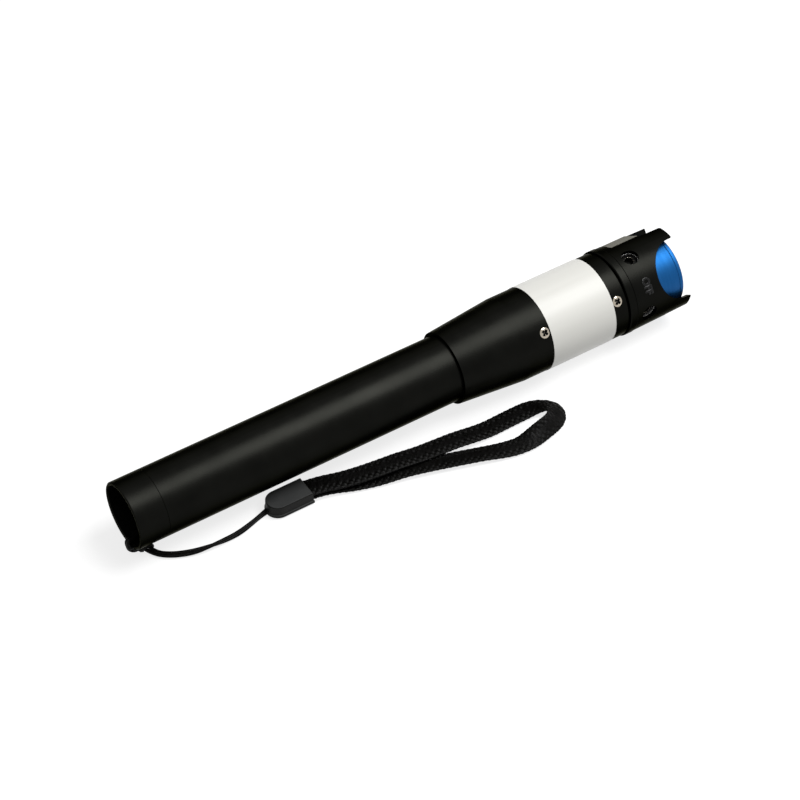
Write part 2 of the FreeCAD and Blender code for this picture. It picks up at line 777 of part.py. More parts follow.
def band_sections(points, lifts, banks):
    """Rectangles across the band at the ends of its runs and inside its arcs."""
    width = float(S.band_width) / 2
    half = float(S.band_thickness) / 2
    pieces = rounded_route(points)
    wire = Part.Wire(route_edges(pieces))
    spots = []
    for edge in wire.OrderedEdges:
        for share in (0, 0.5):
            first, last = edge.ParameterRange
            if edge.Orientation == "Reversed":
                first, last = last, first
            at = first + (last - first) * share
            ahead = edge.tangentAt(at)
            if edge.Orientation == "Reversed":
                ahead = -ahead
            spots.append((edge.valueAt(at), ahead))
    spots.append((points[-1], points[-1] - points[-2]))
    print("band %.1f mm long, %d sections" % (wire.Length, len(spots)))
    gone = 0.0
    sections = []
    before = spots[0][0]
    for spot, ahead in spots:
        gone += (spot - before).Length
        before = spot
        share = min(1.0, gone / wire.Length)
        lift = spread(lifts, share)
        bank = math.radians(spread(banks, share))
        flat = Vector(-ahead.y, ahead.x, 0).normalize()
        wide = flat * math.cos(bank) + Vector(0, 0, math.sin(bank))
        tall = flat * -math.sin(bank) + Vector(0, 0, math.cos(bank))
        rise = width * abs(math.sin(bank)) + half * abs(math.cos(bank))
        centre = Vector(spot.x, spot.y, rise + lift)
        corners = [centre - wide * width - tall * half, centre + wide * width - tall * half,
                   centre + wide * width + tall * half, centre - wide * width + tall * half]
        sections.append(Part.makePolygon(corners + corners[:1]))
    return sections, wire.Length


def spread(table, share):
    """Value of a table of (share, value) between its entries."""
    for (left, low), (right, high) in zip(table, table[1:]):
        if share <= right:
            part = (share - left) / (right - left)
            part = part * part * (3 - 2 * part)
            return low + (high - low) * part
    return table[-1][1]


def make_strap_webbing():
    """Wrist loop: a flat braid out of the slider, round its far bend and back."""
    route = [from_rim(along, side, 0) for along, side in (
        (51.0, -9.95), (56.5, -10.05), (64.0, -12.2), (76.0, -14.5), (92.0, -15.9),
        (107.0, -17.4), (119.0, -17.3), (128.0, -17.9), (133.4, -21.9), (128.6, -27.4),
        (120.0, -28.9), (111.0, -27.9), (99.0, -23.3), (84.0, -18.4), (70.0, -15.1),
        (57.5, -10.2), (51.0, -10.05))]
    thick = float(S.band_thickness)
    lifts = ((0.0, 0.65 + thick + 0.12), (0.06, 0.65 + thick + 0.12), (0.15, thick + 0.1),
             (0.22, thick + 0.1), (0.34, 0.02), (0.9, 0.02), (0.97, 0.62), (1.0, 0.62))
    banks = ((0.0, 0.0), (0.36, 0.0), (0.475, -62.0), (0.51, -62.0), (0.6, 0.0), (1.0, 0.0))
    sections, length = band_sections(route, lifts, banks)
    band = Part.makeLoft(sections, True, True)
    share = band.Volume / (length * thick * float(S.band_width))
    print("webbing volume against section times length %.3f" % share)
    plain("strap_webbing", band)


# ---------------------------------------------------------------- build and write

make_tail_cap()
make_cap_seal()
make_tail_contact()
make_tail_spring()
make_barrel()
middle_of_cells = make_cell("battery_rear", S.cell_start)
front_of_cells = make_cell("battery_front", middle_of_cells)
make_front_contact(front_of_cells)
make_head_sleeve()
make_body_label()
make_sleeve_screws()
make_contact_board()
make_head_core()
make_driver()
make_laser()
make_ferrule_parts()
make_blue_shroud()
make_crown_seal()
make_switch_board()
make_friction_washer()
make_selector_crown()
make_selector_ring()
make_crown_set_screws()
make_contact_wiper()
make_crown_label()
make_strap_cord()
make_strap_knot()
make_strap_slider()
make_strap_webbing()
doc.recompute()

NODES = (
    "tail_cap", "cap_seal", "tail_contact", "tail_spring", "battery_barrel", "battery_rear",
    "battery_front", "front_contact", "head_sleeve", "body_label", "sleeve_screws",
    "contact_board", "head_core", "driver_board", "driver_chip", "laser_housing",
    "laser_diode", "focusing_lens", "lens_retainer", "ferrule_holder", "ferrule_sleeve",
    "blue_shroud", "crown_seal", "switch_board", "friction_washer", "selector_crown",
    "selector_ring", "crown_set_screws", "contact_wiper", "crown_label", "strap_cord",
    "strap_knot", "strap_slider", "strap_webbing",
)
for item in doc.Objects:
    if "Invalid" in item.State or "Error" in item.State:
        raise RuntimeError(item.Label + " is " + str(item.State))
os.makedirs("parts", exist_ok=True)
for node in NODES:
    shape = doc.getObject(node).Shape
    if shape.isNull() or not shape.isValid() or not shape.Solids:
        raise RuntimeError(node + " isn't a valid solid")
    shape.exportStep("parts/" + node + ".step")
    box = shape.BoundBox
    print("%-18s solids %d volume %9.2f  x %7.2f %7.2f  y %7.2f %7.2f  z %6.2f %6.2f" % (
        node, len(shape.Solids), shape.Volume, box.XMin, box.XMax, box.YMin, box.YMax,
        box.ZMin, box.ZMax))
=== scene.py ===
"""Visual fault locator pen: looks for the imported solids, and the strap as soft pieces.

Lengths are in metres, apart from the strap's routes, the knot and the screws. Those are in
millimetres: along the pen from its tail rim, sideways, and up from the floor.
"""
import json
import math

import bmesh
import bpy
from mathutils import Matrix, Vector


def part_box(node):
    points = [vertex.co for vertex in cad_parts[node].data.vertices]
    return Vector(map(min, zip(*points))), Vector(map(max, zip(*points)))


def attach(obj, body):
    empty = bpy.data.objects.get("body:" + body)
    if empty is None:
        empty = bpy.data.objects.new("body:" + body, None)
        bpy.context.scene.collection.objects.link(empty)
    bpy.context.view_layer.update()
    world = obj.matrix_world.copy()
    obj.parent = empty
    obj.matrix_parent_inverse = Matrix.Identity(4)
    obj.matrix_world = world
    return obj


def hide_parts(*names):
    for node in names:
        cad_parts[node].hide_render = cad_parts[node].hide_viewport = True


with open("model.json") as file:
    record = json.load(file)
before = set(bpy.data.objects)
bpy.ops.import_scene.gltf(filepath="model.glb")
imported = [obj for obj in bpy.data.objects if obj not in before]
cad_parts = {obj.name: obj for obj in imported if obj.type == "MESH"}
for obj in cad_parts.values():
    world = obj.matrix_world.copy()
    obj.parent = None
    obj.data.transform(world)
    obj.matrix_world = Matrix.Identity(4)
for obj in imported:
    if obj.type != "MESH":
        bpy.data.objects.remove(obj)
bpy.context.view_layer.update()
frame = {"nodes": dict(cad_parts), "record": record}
nodes = frame["nodes"]

AXIS = 0.0136               # height of the pen's axis
MIDDLE = 0.093              # tail rim to the frame's origin
CROWN_RADIUS = 0.01345


def link(item):
    bpy.context.scene.collection.objects.link(item)
    return item


# ------------------------------------------------------------ camera, floor, light

SOFT_LIGHT = 0.28           # strength of the white surroundings as a light
FLOOR_HALF = 3.0
FLOOR_PAPER = 0.5           # the floor's grey where light bounces off it
FLOOR_SHADE = 0.32          # and where it is seen, so that a shadow shows
FLOOR_GLOW = 0.78           # added where it is seen, to bring it up to white


def make_camera():
    data = bpy.data.cameras.new("camera")
    data.lens = 123.4
    data.sensor_width = 36
    data.clip_start = 0.01
    data.clip_end = 20
    camera = link(bpy.data.objects.new("camera", data))
    camera.location = (-0.2984, -0.4625, 0.5841)
    ahead = Vector((0.37250, 0.58147, -0.72328))
    camera.rotation_mode = "QUATERNION"
    camera.rotation_quaternion = ahead.to_track_quat("-Z", "Y")
    bpy.context.scene.camera = camera


def seen_rays(tree):
    """One where the camera, a reflection or glass looks, and nought for light that spreads."""
    path = tree.nodes.new("ShaderNodeLightPath")
    seen = tree.nodes.new("ShaderNodeMath")
    seen.operation = "MAXIMUM"
    tree.links.new(path.outputs["Is Camera Ray"], seen.inputs[0])
    through = tree.nodes.new("ShaderNodeMath")
    through.operation = "MAXIMUM"
    tree.links.new(path.outputs["Is Glossy Ray"], through.inputs[0])
    tree.links.new(path.outputs["Is Transmission Ray"], through.inputs[1])
    tree.links.new(through.outputs[0], seen.inputs[1])
    return seen.outputs[0]


def make_world():
    """Plain white where it is seen, and a low soft light where it lights."""
    world = bpy.data.worlds.new("studio")
    bpy.context.scene.world = world
    world.use_nodes = True
    tree = world.node_tree
    tree.nodes.clear()
    out = tree.nodes.new("ShaderNodeOutputWorld")
    mix = tree.nodes.new("ShaderNodeMixShader")
    tree.links.new(seen_rays(tree), mix.inputs[0])
    for socket, strength in ((1, SOFT_LIGHT), (2, 1.0)):
        light = tree.nodes.new("ShaderNodeBackground")
        light.inputs["Color"].default_value = (1, 1, 1, 1)
        light.inputs["Strength"].default_value = strength
        tree.links.new(light.outputs[0], mix.inputs[socket])
    tree.links.new(mix.outputs[0], out.inputs[0])


def make_floor():
    """A white floor that keeps the object's shadow."""
    mesh = bpy.data.meshes.new("floor")
    size = FLOOR_HALF
    mesh.from_pydata([(-size, -size, 0), (size, -size, 0), (size, size, 0), (-size, size, 0)],
                     [], [(0, 1, 2, 3)])
    floor = link(bpy.data.objects.new("floor", mesh))
    floor.location.z = -0.0003
    material = bpy.data.materials.new("floor_white")
    material.use_nodes = True
    tree = material.node_tree
    tree.nodes.clear()
    out = tree.nodes.new("ShaderNodeOutputMaterial")
    paper = tree.nodes.new("ShaderNodeBsdfDiffuse")
    paper.inputs["Color"].default_value = (FLOOR_PAPER, FLOOR_PAPER, FLOOR_PAPER, 1)
    glow = tree.nodes.new("ShaderNodeEmission")
    glow.inputs["Color"].default_value = (1, 1, 1, 1)
    glow.inputs["Strength"].default_value = FLOOR_GLOW
    shade = tree.nodes.new("ShaderNodeBsdfDiffuse")
    shade.inputs["Color"].default_value = (FLOOR_SHADE, FLOOR_SHADE, FLOOR_SHADE, 1)
    lit = tree.nodes.new("ShaderNodeAddShader")
    mix = tree.nodes.new("ShaderNodeMixShader")
    tree.links.new(shade.outputs[0], lit.inputs[0])
    tree.links.new(glow.outputs[0], lit.inputs[1])
    tree.links.new(seen_rays(tree), mix.inputs[0])
    tree.links.new(paper.outputs[0], mix.inputs[1])
    tree.links.new(lit.outputs[0], mix.inputs[2])
    tree.links.new(mix.outputs[0], out.inputs[0])
    mesh.materials.append(material)


def make_lamp():
    """The one lamp: a soft box above the head's end, towards the viewer."""
    data = bpy.data.lights.new("key", "AREA")
    data.shape = "RECTANGLE"
    data.size = 0.56
    data.size_y = 0.48
    data.energy = 8.6
    light = link(bpy.data.objects.new("key", data))
    light.location = (0.335, -0.156, 0.82)
    light.rotation_mode = "QUATERNION"
    light.rotation_quaternion = (-light.location).to_track_quat("-Z", "Y")


# ------------------------------------------------------------ materials

def new_material(name):
    material = bpy.data.materials.new(name)
    material.use_nodes = True
    tree = material.node_tree
    shader = tree.nodes["Principled BSDF"]
    return material, tree, shader


def noise_over(tree, scale, detail, stretch):
    place = tree.nodes.new("ShaderNodeTexCoord")
    placed = tree.nodes.new("ShaderNodeMapping")
    placed.inputs["Scale"].default_value = stretch
    noise = tree.nodes.new("ShaderNodeTexNoise")
    noise.inputs["Scale"].default_value = scale
    noise.inputs["Detail"].default_value = detail
    tree.links.new(place.outputs["Object"], placed.inputs["Vector"])
    tree.links.new(placed.outputs[0], noise.inputs["Vector"])
    return noise.outputs["Fac"]


def add_grain(tree, shader, scale, strength, distance, stretch=(1, 1, 1), edge=0.00012):
    """Fine relief from noise; `edge` is the radius of the broken edges under it."""
    bump = tree.nodes.new("ShaderNodeBump")
    bump.inputs["Strength"].default_value = strength
    bump.inputs["Distance"].default_value = distance
    tree.links.new(noise_over(tree, scale, 4, stretch), bump.inputs["Height"])
    if edge:
        soft = tree.nodes.new("ShaderNodeBevel")
        soft.samples = 4
        soft.inputs["Radius"].default_value = edge
        tree.links.new(soft.outputs[0], bump.inputs["Normal"])
    tree.links.new(bump.outputs[0], shader.inputs["Normal"])


def vary(tree, shader, socket, low, high, scale, stretch=(1, 1, 1)):
    """A colour or roughness that drifts between two values."""
    ramp = tree.nodes.new("ShaderNodeValToRGB")
    ramp.color_ramp.elements[0].position = 0.3
    ramp.color_ramp.elements[1].position = 0.7
    if isinstance(low, (int, float)):
        low, high = (low, low, low), (high, high, high)
    ramp.color_ramp.elements[0].color = (*low, 1)
    ramp.color_ramp.elements[1].color = (*high, 1)
    tree.links.new(noise_over(tree, scale, 3, stretch), ramp.inputs["Fac"])
    tree.links.new(ramp.outputs["Color"], shader.inputs[socket])


def finish_material(name, low, high, rough, metallic=0.0, specular=0.5, grain=(900, 0.15),
                    scale=120, stretch=(1, 1, 1), edge=0.00012, tint=None):
    """A finish between two colours and two roughnesses; grain is (scale, strength)."""
    material, tree, shader = new_material(name)
    shader.inputs["Metallic"].default_value = metallic
    shader.inputs["Specular IOR Level"].default_value = specular
    if tint:
        shader.inputs["Specular Tint"].default_value = (*tint, 1)
    vary(tree, shader, "Base Color", low, high, scale, stretch=stretch)
    vary(tree, shader, "Roughness", rough[0], rough[1], scale * 2, stretch=stretch)
    add_grain(tree, shader, grain[0], grain[1], 0.0001, stretch, edge)
    return material


MATERIALS = {
    "black_anodised": finish_material(
        "black_anodised", (0.0058, 0.0059, 0.0052), (0.0074, 0.0075, 0.0066), (0.32, 0.38), 1.0,
        tint=(0.40, 0.40, 0.37), grain=(5200, 0.07)),
    "machined_aluminium": finish_material(
        "machined_aluminium", (0.55, 0.55, 0.54), (0.66, 0.66, 0.65), (0.24, 0.34), 1.0,
        grain=(900, 0.12), stretch=(8, 1, 1)),
    "blue_anodised": finish_material(
        "blue_anodised", (0.007, 0.070, 0.215), (0.010, 0.083, 0.245), (0.42, 0.48), 0.85,
        specular=0.1, grain=(1400, 0.03), stretch=(9, 1, 1)),
    "white_film": finish_material(
        "white_film", (0.645, 0.64, 0.603), (0.685, 0.68, 0.643), (0.30, 0.44),
        specular=0.35, grain=(160, 0.12), scale=150, stretch=(0.05, 1, 1), edge=0.00004),
    "grey_film": finish_material(
        "grey_film", (0.12, 0.115, 0.095), (0.15, 0.145, 0.12), (0.6, 0.7), specular=0.1,
        edge=0.00004),
    "nickel_steel": finish_material(
        "nickel_steel", (0.36, 0.32, 0.26), (0.50, 0.45, 0.37), (0.12, 0.22), 1.0,
        grain=(2500, 0.1), edge=0.00005),
    "black_oxide": finish_material(
        "black_oxide", (0.006, 0.006, 0.0058), (0.012, 0.012, 0.011), (0.22, 0.34), 0.8,
        specular=0.1, grain=(4000, 0.2), edge=0.00005),
    "spring_steel": finish_material(
        "spring_steel", (0.45, 0.45, 0.45), (0.55, 0.55, 0.55), (0.2, 0.3), 1.0),
    "contact_brass": finish_material(
        "contact_brass", (0.66, 0.46, 0.18), (0.76, 0.56, 0.26), (0.24, 0.34), 1.0,
        stretch=(6, 1, 1)),
    "seal_rubber": finish_material(
        "seal_rubber", (0.012, 0.012, 0.012), (0.02, 0.02, 0.02), (0.5, 0.62)),
    "board_green": finish_material(
        "board_green", (0.012, 0.09, 0.03), (0.02, 0.13, 0.045), (0.34, 0.45)),
    "chip_black": finish_material(
        "chip_black", (0.012, 0.012, 0.012), (0.02, 0.02, 0.02), (0.45, 0.6)),
    "cell_jacket": finish_material(
        "cell_jacket", (0.03, 0.03, 0.035), (0.05, 0.05, 0.056), (0.22, 0.3)),
    "lens_glass": finish_material(
        "lens_glass", (0.8, 0.86, 0.9), (0.86, 0.92, 0.95), (0.03, 0.05), grain=(400, 0.01)),
    "zirconia_white": finish_material(
        "zirconia_white", (0.80, 0.79, 0.74), (0.86, 0.85, 0.80), (0.16, 0.22)),
    "moulded_grey": finish_material(
        "moulded_grey", (0.024, 0.025, 0.025), (0.033, 0.034, 0.034), (0.5, 0.58),
        specular=0.16, grain=(3600, 0.25)),
    # a much darker copy of moulded_grey for the slider's sides and slot: painted shade
    "moulded_grey_painted_shade": finish_material(
        "moulded_grey_painted_shade", (0.0045, 0.0045, 0.0042), (0.0075, 0.0075, 0.007), (0.45, 0.55),
        specular=0.1, grain=(3600, 0.25)),
    "mark_black": finish_material(
        "mark_black", (0.0008, 0.0008, 0.0008), (0.0016, 0.0016, 0.0016), (0.14, 0.24),
        specular=0.22, grain=(2600, 0.5), edge=0),
}


def braid_material():
    """Twisted polyester yarn: dark, with small glints on the crowns of the strands."""
    material, tree, shader = new_material("braid_black")
    shader.inputs["Specular IOR Level"].default_value = 0.055
    vary(tree, shader, "Base Color", (0.0010, 0.0009, 0.0008), (0.0028, 0.0026, 0.0023), 900)
    vary(tree, shader, "Roughness", 0.26, 0.5, 700)
    add_grain(tree, shader, 4200, 0.6, 0.00012, edge=0)
    return material


MATERIALS["braid_black"] = braid_material()


def dress_nodes():
    for part in frame["record"]["subparts"]:
        node = nodes[part["node"]]
        node.data.materials.clear()
        node.data.materials.append(MATERIALS[part["material_slot"]])


# ------------------------------------------------------------ meshes

def bridge(build, before, after):
    """Quads between two rings of as many vertices."""
    for step in range(len(before)):
        other = (step + 1) % len(before)
        build.faces.new((before[step], before[other], after[other], after[step]))


def finish_mesh(build, name):
    bmesh.ops.recalc_face_normals(build, faces=build.faces)
    mesh = bpy.data.meshes.new(name)
    build.to_mesh(mesh)
    build.free()
    return mesh


def piece_from(name, mesh, body, slot, smooth=True):
    piece = link(bpy.data.objects.new(name, mesh))
    mesh.materials.append(MATERIALS[slot])
    if smooth:
        for face in mesh.polygons:
            face.use_smooth = True
    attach(piece, body)
    return piece


def about_axis(along, angle, radius):
    """Row-frame point at a length from the tail rim, an angle about the axis and a radius."""
    turn = math.radians(angle)
    return Vector((along - MIDDLE, radius * math.cos(turn), AXIS + radius * math.sin(turn)))


def on_floor(along, side, height):
    """Row-frame point for a place beside the pen, in millimetres."""
    return Vector(((along / 1000) - MIDDLE, side / 1000, height / 1000))


def nurbs_line(name, points):
    """The route as one smooth open spline, its points as control points."""
    data = bpy.data.curves.new(name, "CURVE")
    data.dimensions = "3D"
    data.resolution_u = 10
    spline = data.splines.new("NURBS")
    spline.points.add(len(points) - 1)
    for item, point in zip(spline.points, points):
        item.co = (*point, 1)
    spline.order_u = 3
    spline.use_endpoint_u = True
    return link(bpy.data.objects.new(name, data))


def line_points(points):
    """Points along the route's spline, close together."""
    line = nurbs_line("route", points)
    bpy.context.view_layer.update()
    mesh = bpy.data.meshes.new_from_object(line)
    found = [vertex.co.copy() for vertex in mesh.vertices]
    bpy.data.meshes.remove(mesh)
    curve = line.data
    bpy.data.objects.remove(line)
    bpy.data.curves.remove(curve)
    return found


def evenly(points, count):
    """The same line as `count` points the same way apart, and its length."""
    gone = [0.0]
    for before, after in zip(points, points[1:]):
        gone.append(gone[-1] + (after - before).length)
    found = []
    index = 0
    for step in range(count):
        want = gone[-1] * step / (count - 1)
        while index < len(points) - 2 and gone[index + 1] < want:
            index += 1
        span = gone[index + 1] - gone[index] or 1e-9
        found.append(points[index].lerp(points[index + 1], (want - gone[index]) / span))
    return found, gone[-1]


# ------------------------------------------------------------ wrist strap

CORD = 0.0011
CORD_LOW = CORD * 500 + 0.02    # mm from the floor to the middle of a cord that lies on it

# along, sideways, raised
CORD_ROUTES = (
    ("strap_cord_outer", ((3.7, -2.7, 0), (4.9, -6.3, 0), (8.7, -9.7, 0), (14.5, -12.2, 0),
                          (20.0, -13.1, 0.9), (24.0, -13.2, 1.1), (28.0, -13.0, 1.0),
                          (32.5, -12.1, 1.0), (36.5, -10.9, 0.8), (40.0, -9.6, 0.7))),
    ("strap_cord_inner", ((5.2, -2.7, 0), (5.9, -6.0, 0), (9.4, -8.9, 0), (14.5, -11.1, 0),
                          (20.0, -12.3, 0), (25.0, -13.0, 0), (29.5, -12.8, 0),
                          (34.0, -11.5, 0), (37.5, -10.4, 0), (40.0, -10.05, 0))),
)


def line_length(points):
    return sum((after - before).length for before, after in zip(points, points[1:]))


def make_cords():
    """The thin cord, folded once, as two strands; the outer lies on the inner by the slider."""
    cords = []
    for name, spots in CORD_ROUTES:
        points = [on_floor(along, side, CORD_LOW + rise) for along, side, rise in spots]
        length = line_length(line_points(points))
        cord = nurbs_line(name, points)
        cord.data.bevel_depth = CORD / 2
        cord.data.bevel_resolution = 4
        cord.data.use_fill_caps = True
        cord.data.materials.append(MATERIALS["braid_black"])
        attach(cord, "tail_cap")
        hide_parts("strap_cord")
        cords.append((cord, points[0], length))
    return cords


# along, sideways: out of the slider, round the wrist loop and back into the slider
BAND_ROUTE = ((51.0, -9.95), (56.5, -10.6), (64.0, -13.1), (76.0, -14.8), (92.0, -16.2),
              (107.0, -17.3), (119.0, -16.9), (126.4, -17.0), (131.6, -20.8), (128.6, -26.2),
              (120.0, -27.9), (111.0, -27.3), (99.0, -23.3), (84.0, -18.6), (70.0, -15.3),
              (57.5, -10.6), (51.0, -10.05))
BAND_WIDTH = 0.0062
BAND_THICK = 0.0013
BAND_ROWS = 1150            # cross-sections along the band
BAND_CELLS = 28             # points on each face of a cross-section
BAND_RELIEF = 0.00036
BAND_PITCH = BAND_WIDTH / 3.2
# share of the length, and what holds there: mm of lift, degrees of lean
BAND_LIFTS = ((0.0, 2.07), (0.17, 2.07), (0.23, 1.4), (0.28, 1.4), (0.37, 0.02), (0.9, 0.02),
              (0.97, 0.62), (1.0, 0.62))
BAND_BANKS = ((0.0, 0.0), (0.43, 0.0), (0.50, -24.0), (0.54, -42.0), (0.61, 0.0), (0.68, 8.0),
              (0.80, 8.0), (0.88, 0.0), (1.0, 0.0))


def eased(table, share):
    """The table's value at a share of the length, eased from row to row."""
    for (left, low), (right, high) in zip(table, table[1:]):
        if share <= right:
            part = (share - left) / (right - left)
            part = part * part * (3 - 2 * part)
            return low + (high - low) * part
    return table[-1][1]


def strand_height(across, along, pitch):
    """Relief of a flat braid: two families of strands that pass over and under."""
    first = (along + across) / pitch
    second = (along - across) / pitch
    over = (math.floor(first) + math.floor(second)) % 2 == 0
    a = first - math.floor(first)
    b = second - math.floor(second)
    wide, length = (a, b) if over else (b, a)
    return math.sin(math.pi * wide) ** 0.6 * (0.55 + 0.45 * math.sin(math.pi * length))


def band_section(build, centre, wide, tall, gone):
    """One cross-section of the band: a flat oval, its outline moved by the strands' relief."""
    half_wide = BAND_WIDTH / 2 - 0.0001
    half_tall = BAND_THICK / 2 - BAND_RELIEF * 0.6
    ring = []
    for step in range(BAND_CELLS * 2):
        turn = step / BAND_CELLS * math.pi
        cosine, sine = math.cos(turn), math.sin(turn)
        across = half_wide * math.copysign(abs(cosine) ** 0.55, cosine)
        up = half_tall * math.copysign(abs(sine) ** 0.45, sine)
        face = 1 if sine >= 0 else -1
        along = gone + (0 if face > 0 else BAND_PITCH / 2)
        out = BAND_RELIEF * (strand_height(across, along, BAND_PITCH) - 0.5)
        edge = abs(cosine) ** 3
        ring.append(build.verts.new(
            centre + wide * (across + math.copysign(out * edge, cosine))
            + tall * (up + out * (1 - edge) * face)))
    return ring


def make_webbing():
    """The braided wrist loop; gives the piece, its middle line and that line's length."""
    route = line_points([on_floor(along, side, 0.0) for along, side in BAND_ROUTE])
    line, length = evenly(route, BAND_ROWS)
    build = bmesh.new()
    rings = []
    path = []
    for index, spot in enumerate(line):
        share = index / (BAND_ROWS - 1)
        ahead = (line[min(index + 1, BAND_ROWS - 1)] - line[max(index - 1, 0)]).normalized()
        flat = Vector((-ahead.y, ahead.x, 0)).normalized()
        bank = math.radians(eased(BAND_BANKS, share))
        wide = flat * math.cos(bank) + Vector((0, 0, math.sin(bank)))
        tall = flat * -math.sin(bank) + Vector((0, 0, math.cos(bank)))
        rise = (BAND_WIDTH / 2 * abs(math.sin(bank)) + BAND_THICK / 2 * abs(math.cos(bank))
                + eased(BAND_LIFTS, share) / 1000)
        centre = Vector((spot.x, spot.y, rise))
        path.append(centre)
        rings.append(band_section(build, centre, wide, tall, length * share))
    for before, after in zip(rings, rings[1:]):
        bridge(build, before, after)
    build.faces.new(rings[0])
    build.faces.new(list(reversed(rings[-1])))
    webbing = piece_from("strap_webbing_braid", finish_mesh(build, "strap_webbing_braid"),
                         "tail_cap", "braid_black")
    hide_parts("strap_webbing")
    return webbing, path, line_length(path)


def tube_mesh(name, lines, radius, sides=12):
    """Tubes along lines of points; each line comes with whether it closes on itself."""
    build = bmesh.new()
    for line, closed in lines:
        count = len(line)
        rings = []
        side = None
        for index, spot in enumerate(line):
            after = line[(index + 1) % count] if closed or index < count - 1 else spot
            before = line[index - 1] if closed or index > 0 else spot
            ahead = (after - before).normalized()
            if side is None:
                side = ahead.orthogonal().normalized()
            side = (side - ahead * side.dot(ahead)).normalized()
            other = ahead.cross(side)
            turns = [2 * math.pi * step / sides for step in range(sides)]
            rings.append([build.verts.new(
                spot + side * (radius * math.cos(turn)) + other * (radius * math.sin(turn)))
                for turn in turns])
        for before, after in zip(rings, rings[1:]):
            bridge(build, before, after)
        if closed:
            last, first = rings[-1], rings[0]
            twist = min(range(sides), key=lambda step: (last[0].co - first[step].co).length)
            bridge(build, last, first[twist:] + first[:twist])
        else:
            build.faces.new(rings[0])
            build.faces.new(list(reversed(rings[-1])))
    return finish_mesh(build, name)


def smooth_loop(points, closed, steps=8):
    """Points of a smooth line through a few places."""
    count = len(points)
    found = []
    spans = count if closed else count - 1
    for index in range(spans):
        if closed:
            p = [points[(index + k) % count] for k in (-1, 0, 1, 2)]
        else:
            p = [points[max(0, min(count - 1, index + k))] for k in (-1, 0, 1, 2)]
        for step in range(steps):
            u = step / steps
            found.append(0.5 * ((2 * p[1]) + (p[2] - p[0]) * u
                                + (2 * p[0] - 5 * p[1] + 4 * p[2] - p[3]) * u ** 2
                                + (3 * p[1] - p[0] - 3 * p[2] + p[3]) * u ** 3))
    if not closed:
        found.append(points[-1])
    return found


# one turn of the hitch: along, share of the way from the hole's angle to the rim's, radius
KNOT_TURN = ((-0.40, 1.0, 10.75), (-0.62, 1.0, 9.6), (-0.3, 1.0, 8.6), (1.2, 0.8, 8.48),
             (3.6, 0.3, 8.48), (5.1, 0.0, 8.7), (5.4, 0.0, 9.6), (5.2, 0.0, 10.7),
             (3.8, 0.3, 10.9), (1.0, 0.8, 10.9))
KNOT_ANGLES = ((271.5, 259.5), (265.0, 253.1))     # at the hole and at the rim, each turn
# the loose bights under the cap: along, sideways, up
KNOT_BIGHTS = (
    ((0.9, -0.4, 2.2), (0.2, -0.4, 1.7), (0.1, -1.1, 0.9), (0.7, -1.9, 0.57),
     (1.7, -2.5, 0.7), (2.5, -2.4, 1.4), (2.6, -1.2, 1.8)),
    ((1.1, -1.1, 1.6), (1.1, -2.3, 1.7), (1.7, -3.0, 1.5), (2.6, -3.3, 1.1), (3.4, -3.7, 0.6)),
    ((1.6, 0.9, 1.7), (1.6, 1.1, 0.75), (1.7, 0.0, 0.57), (2.0, -1.4, 0.57),
     (3.0, -2.6, 0.57), (3.7, -3.3, 0.57)),
    ((4.4, 0.8, 1.7), (4.4, 1.0, 0.75), (4.4, -0.1, 0.57), (4.7, -1.6, 0.57),
     (5.2, -3.2, 0.57)),
    ((2.7, -3.4, 0.6), (3.0, -3.6, 1.5), (4.4, -3.9, 1.75), (5.8, -3.8, 1.5),
     (6.2, -3.7, 0.6)),
    ((2.9, -2.5, 0.6), (3.3, -2.7, 1.6), (4.5, -2.9, 1.8), (5.7, -2.8, 1.6),
     (6.1, -2.6, 0.6)),
)


def make_knot():
    """The hitch: two turns through the hole and round the rim, and the bights under them."""
    lines = []
    for hole, rim in KNOT_ANGLES:
        turn = [about_axis(along / 1000, hole + (rim - hole) * share, radius / 1000)
                for along, share, radius in KNOT_TURN]
        lines.append((smooth_loop(turn, True), True))
    for spots in KNOT_BIGHTS:
        lines.append((smooth_loop([on_floor(*spot) for spot in spots], False), False))
    knot = piece_from("strap_knot_hitch", tube_mesh("strap_knot_hitch", lines, CORD / 2),
                      "tail_cap", "braid_black")
    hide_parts("strap_knot")
    return knot


SLIDER_STEPS = 32           # facets round the half-round end
SLOT_DEPTH_FROM = 0.0042    # the braid's slot starts this far from the cord's end
SLOT_MIDDLE = -0.0100
SLOT_FLOOR = 0.0005
SLOT_ROOF = 0.0036


def rounded_end(low, high, inset):
    """The slider's outline from above: square at the braid's end, half round at the cord's."""
    left, right = low.x + inset, high.x - inset
    near, far = low.y + inset, high.y - inset
    radius = (far - near) / 2
    middle = (near + far) / 2
    turns = [math.pi * step / SLIDER_STEPS for step in range(SLIDER_STEPS + 1)]
    outline = [(left + radius - radius * math.sin(turn), middle + radius * math.cos(turn))
               for turn in turns]
    return outline + [(right, near), (right, far)]


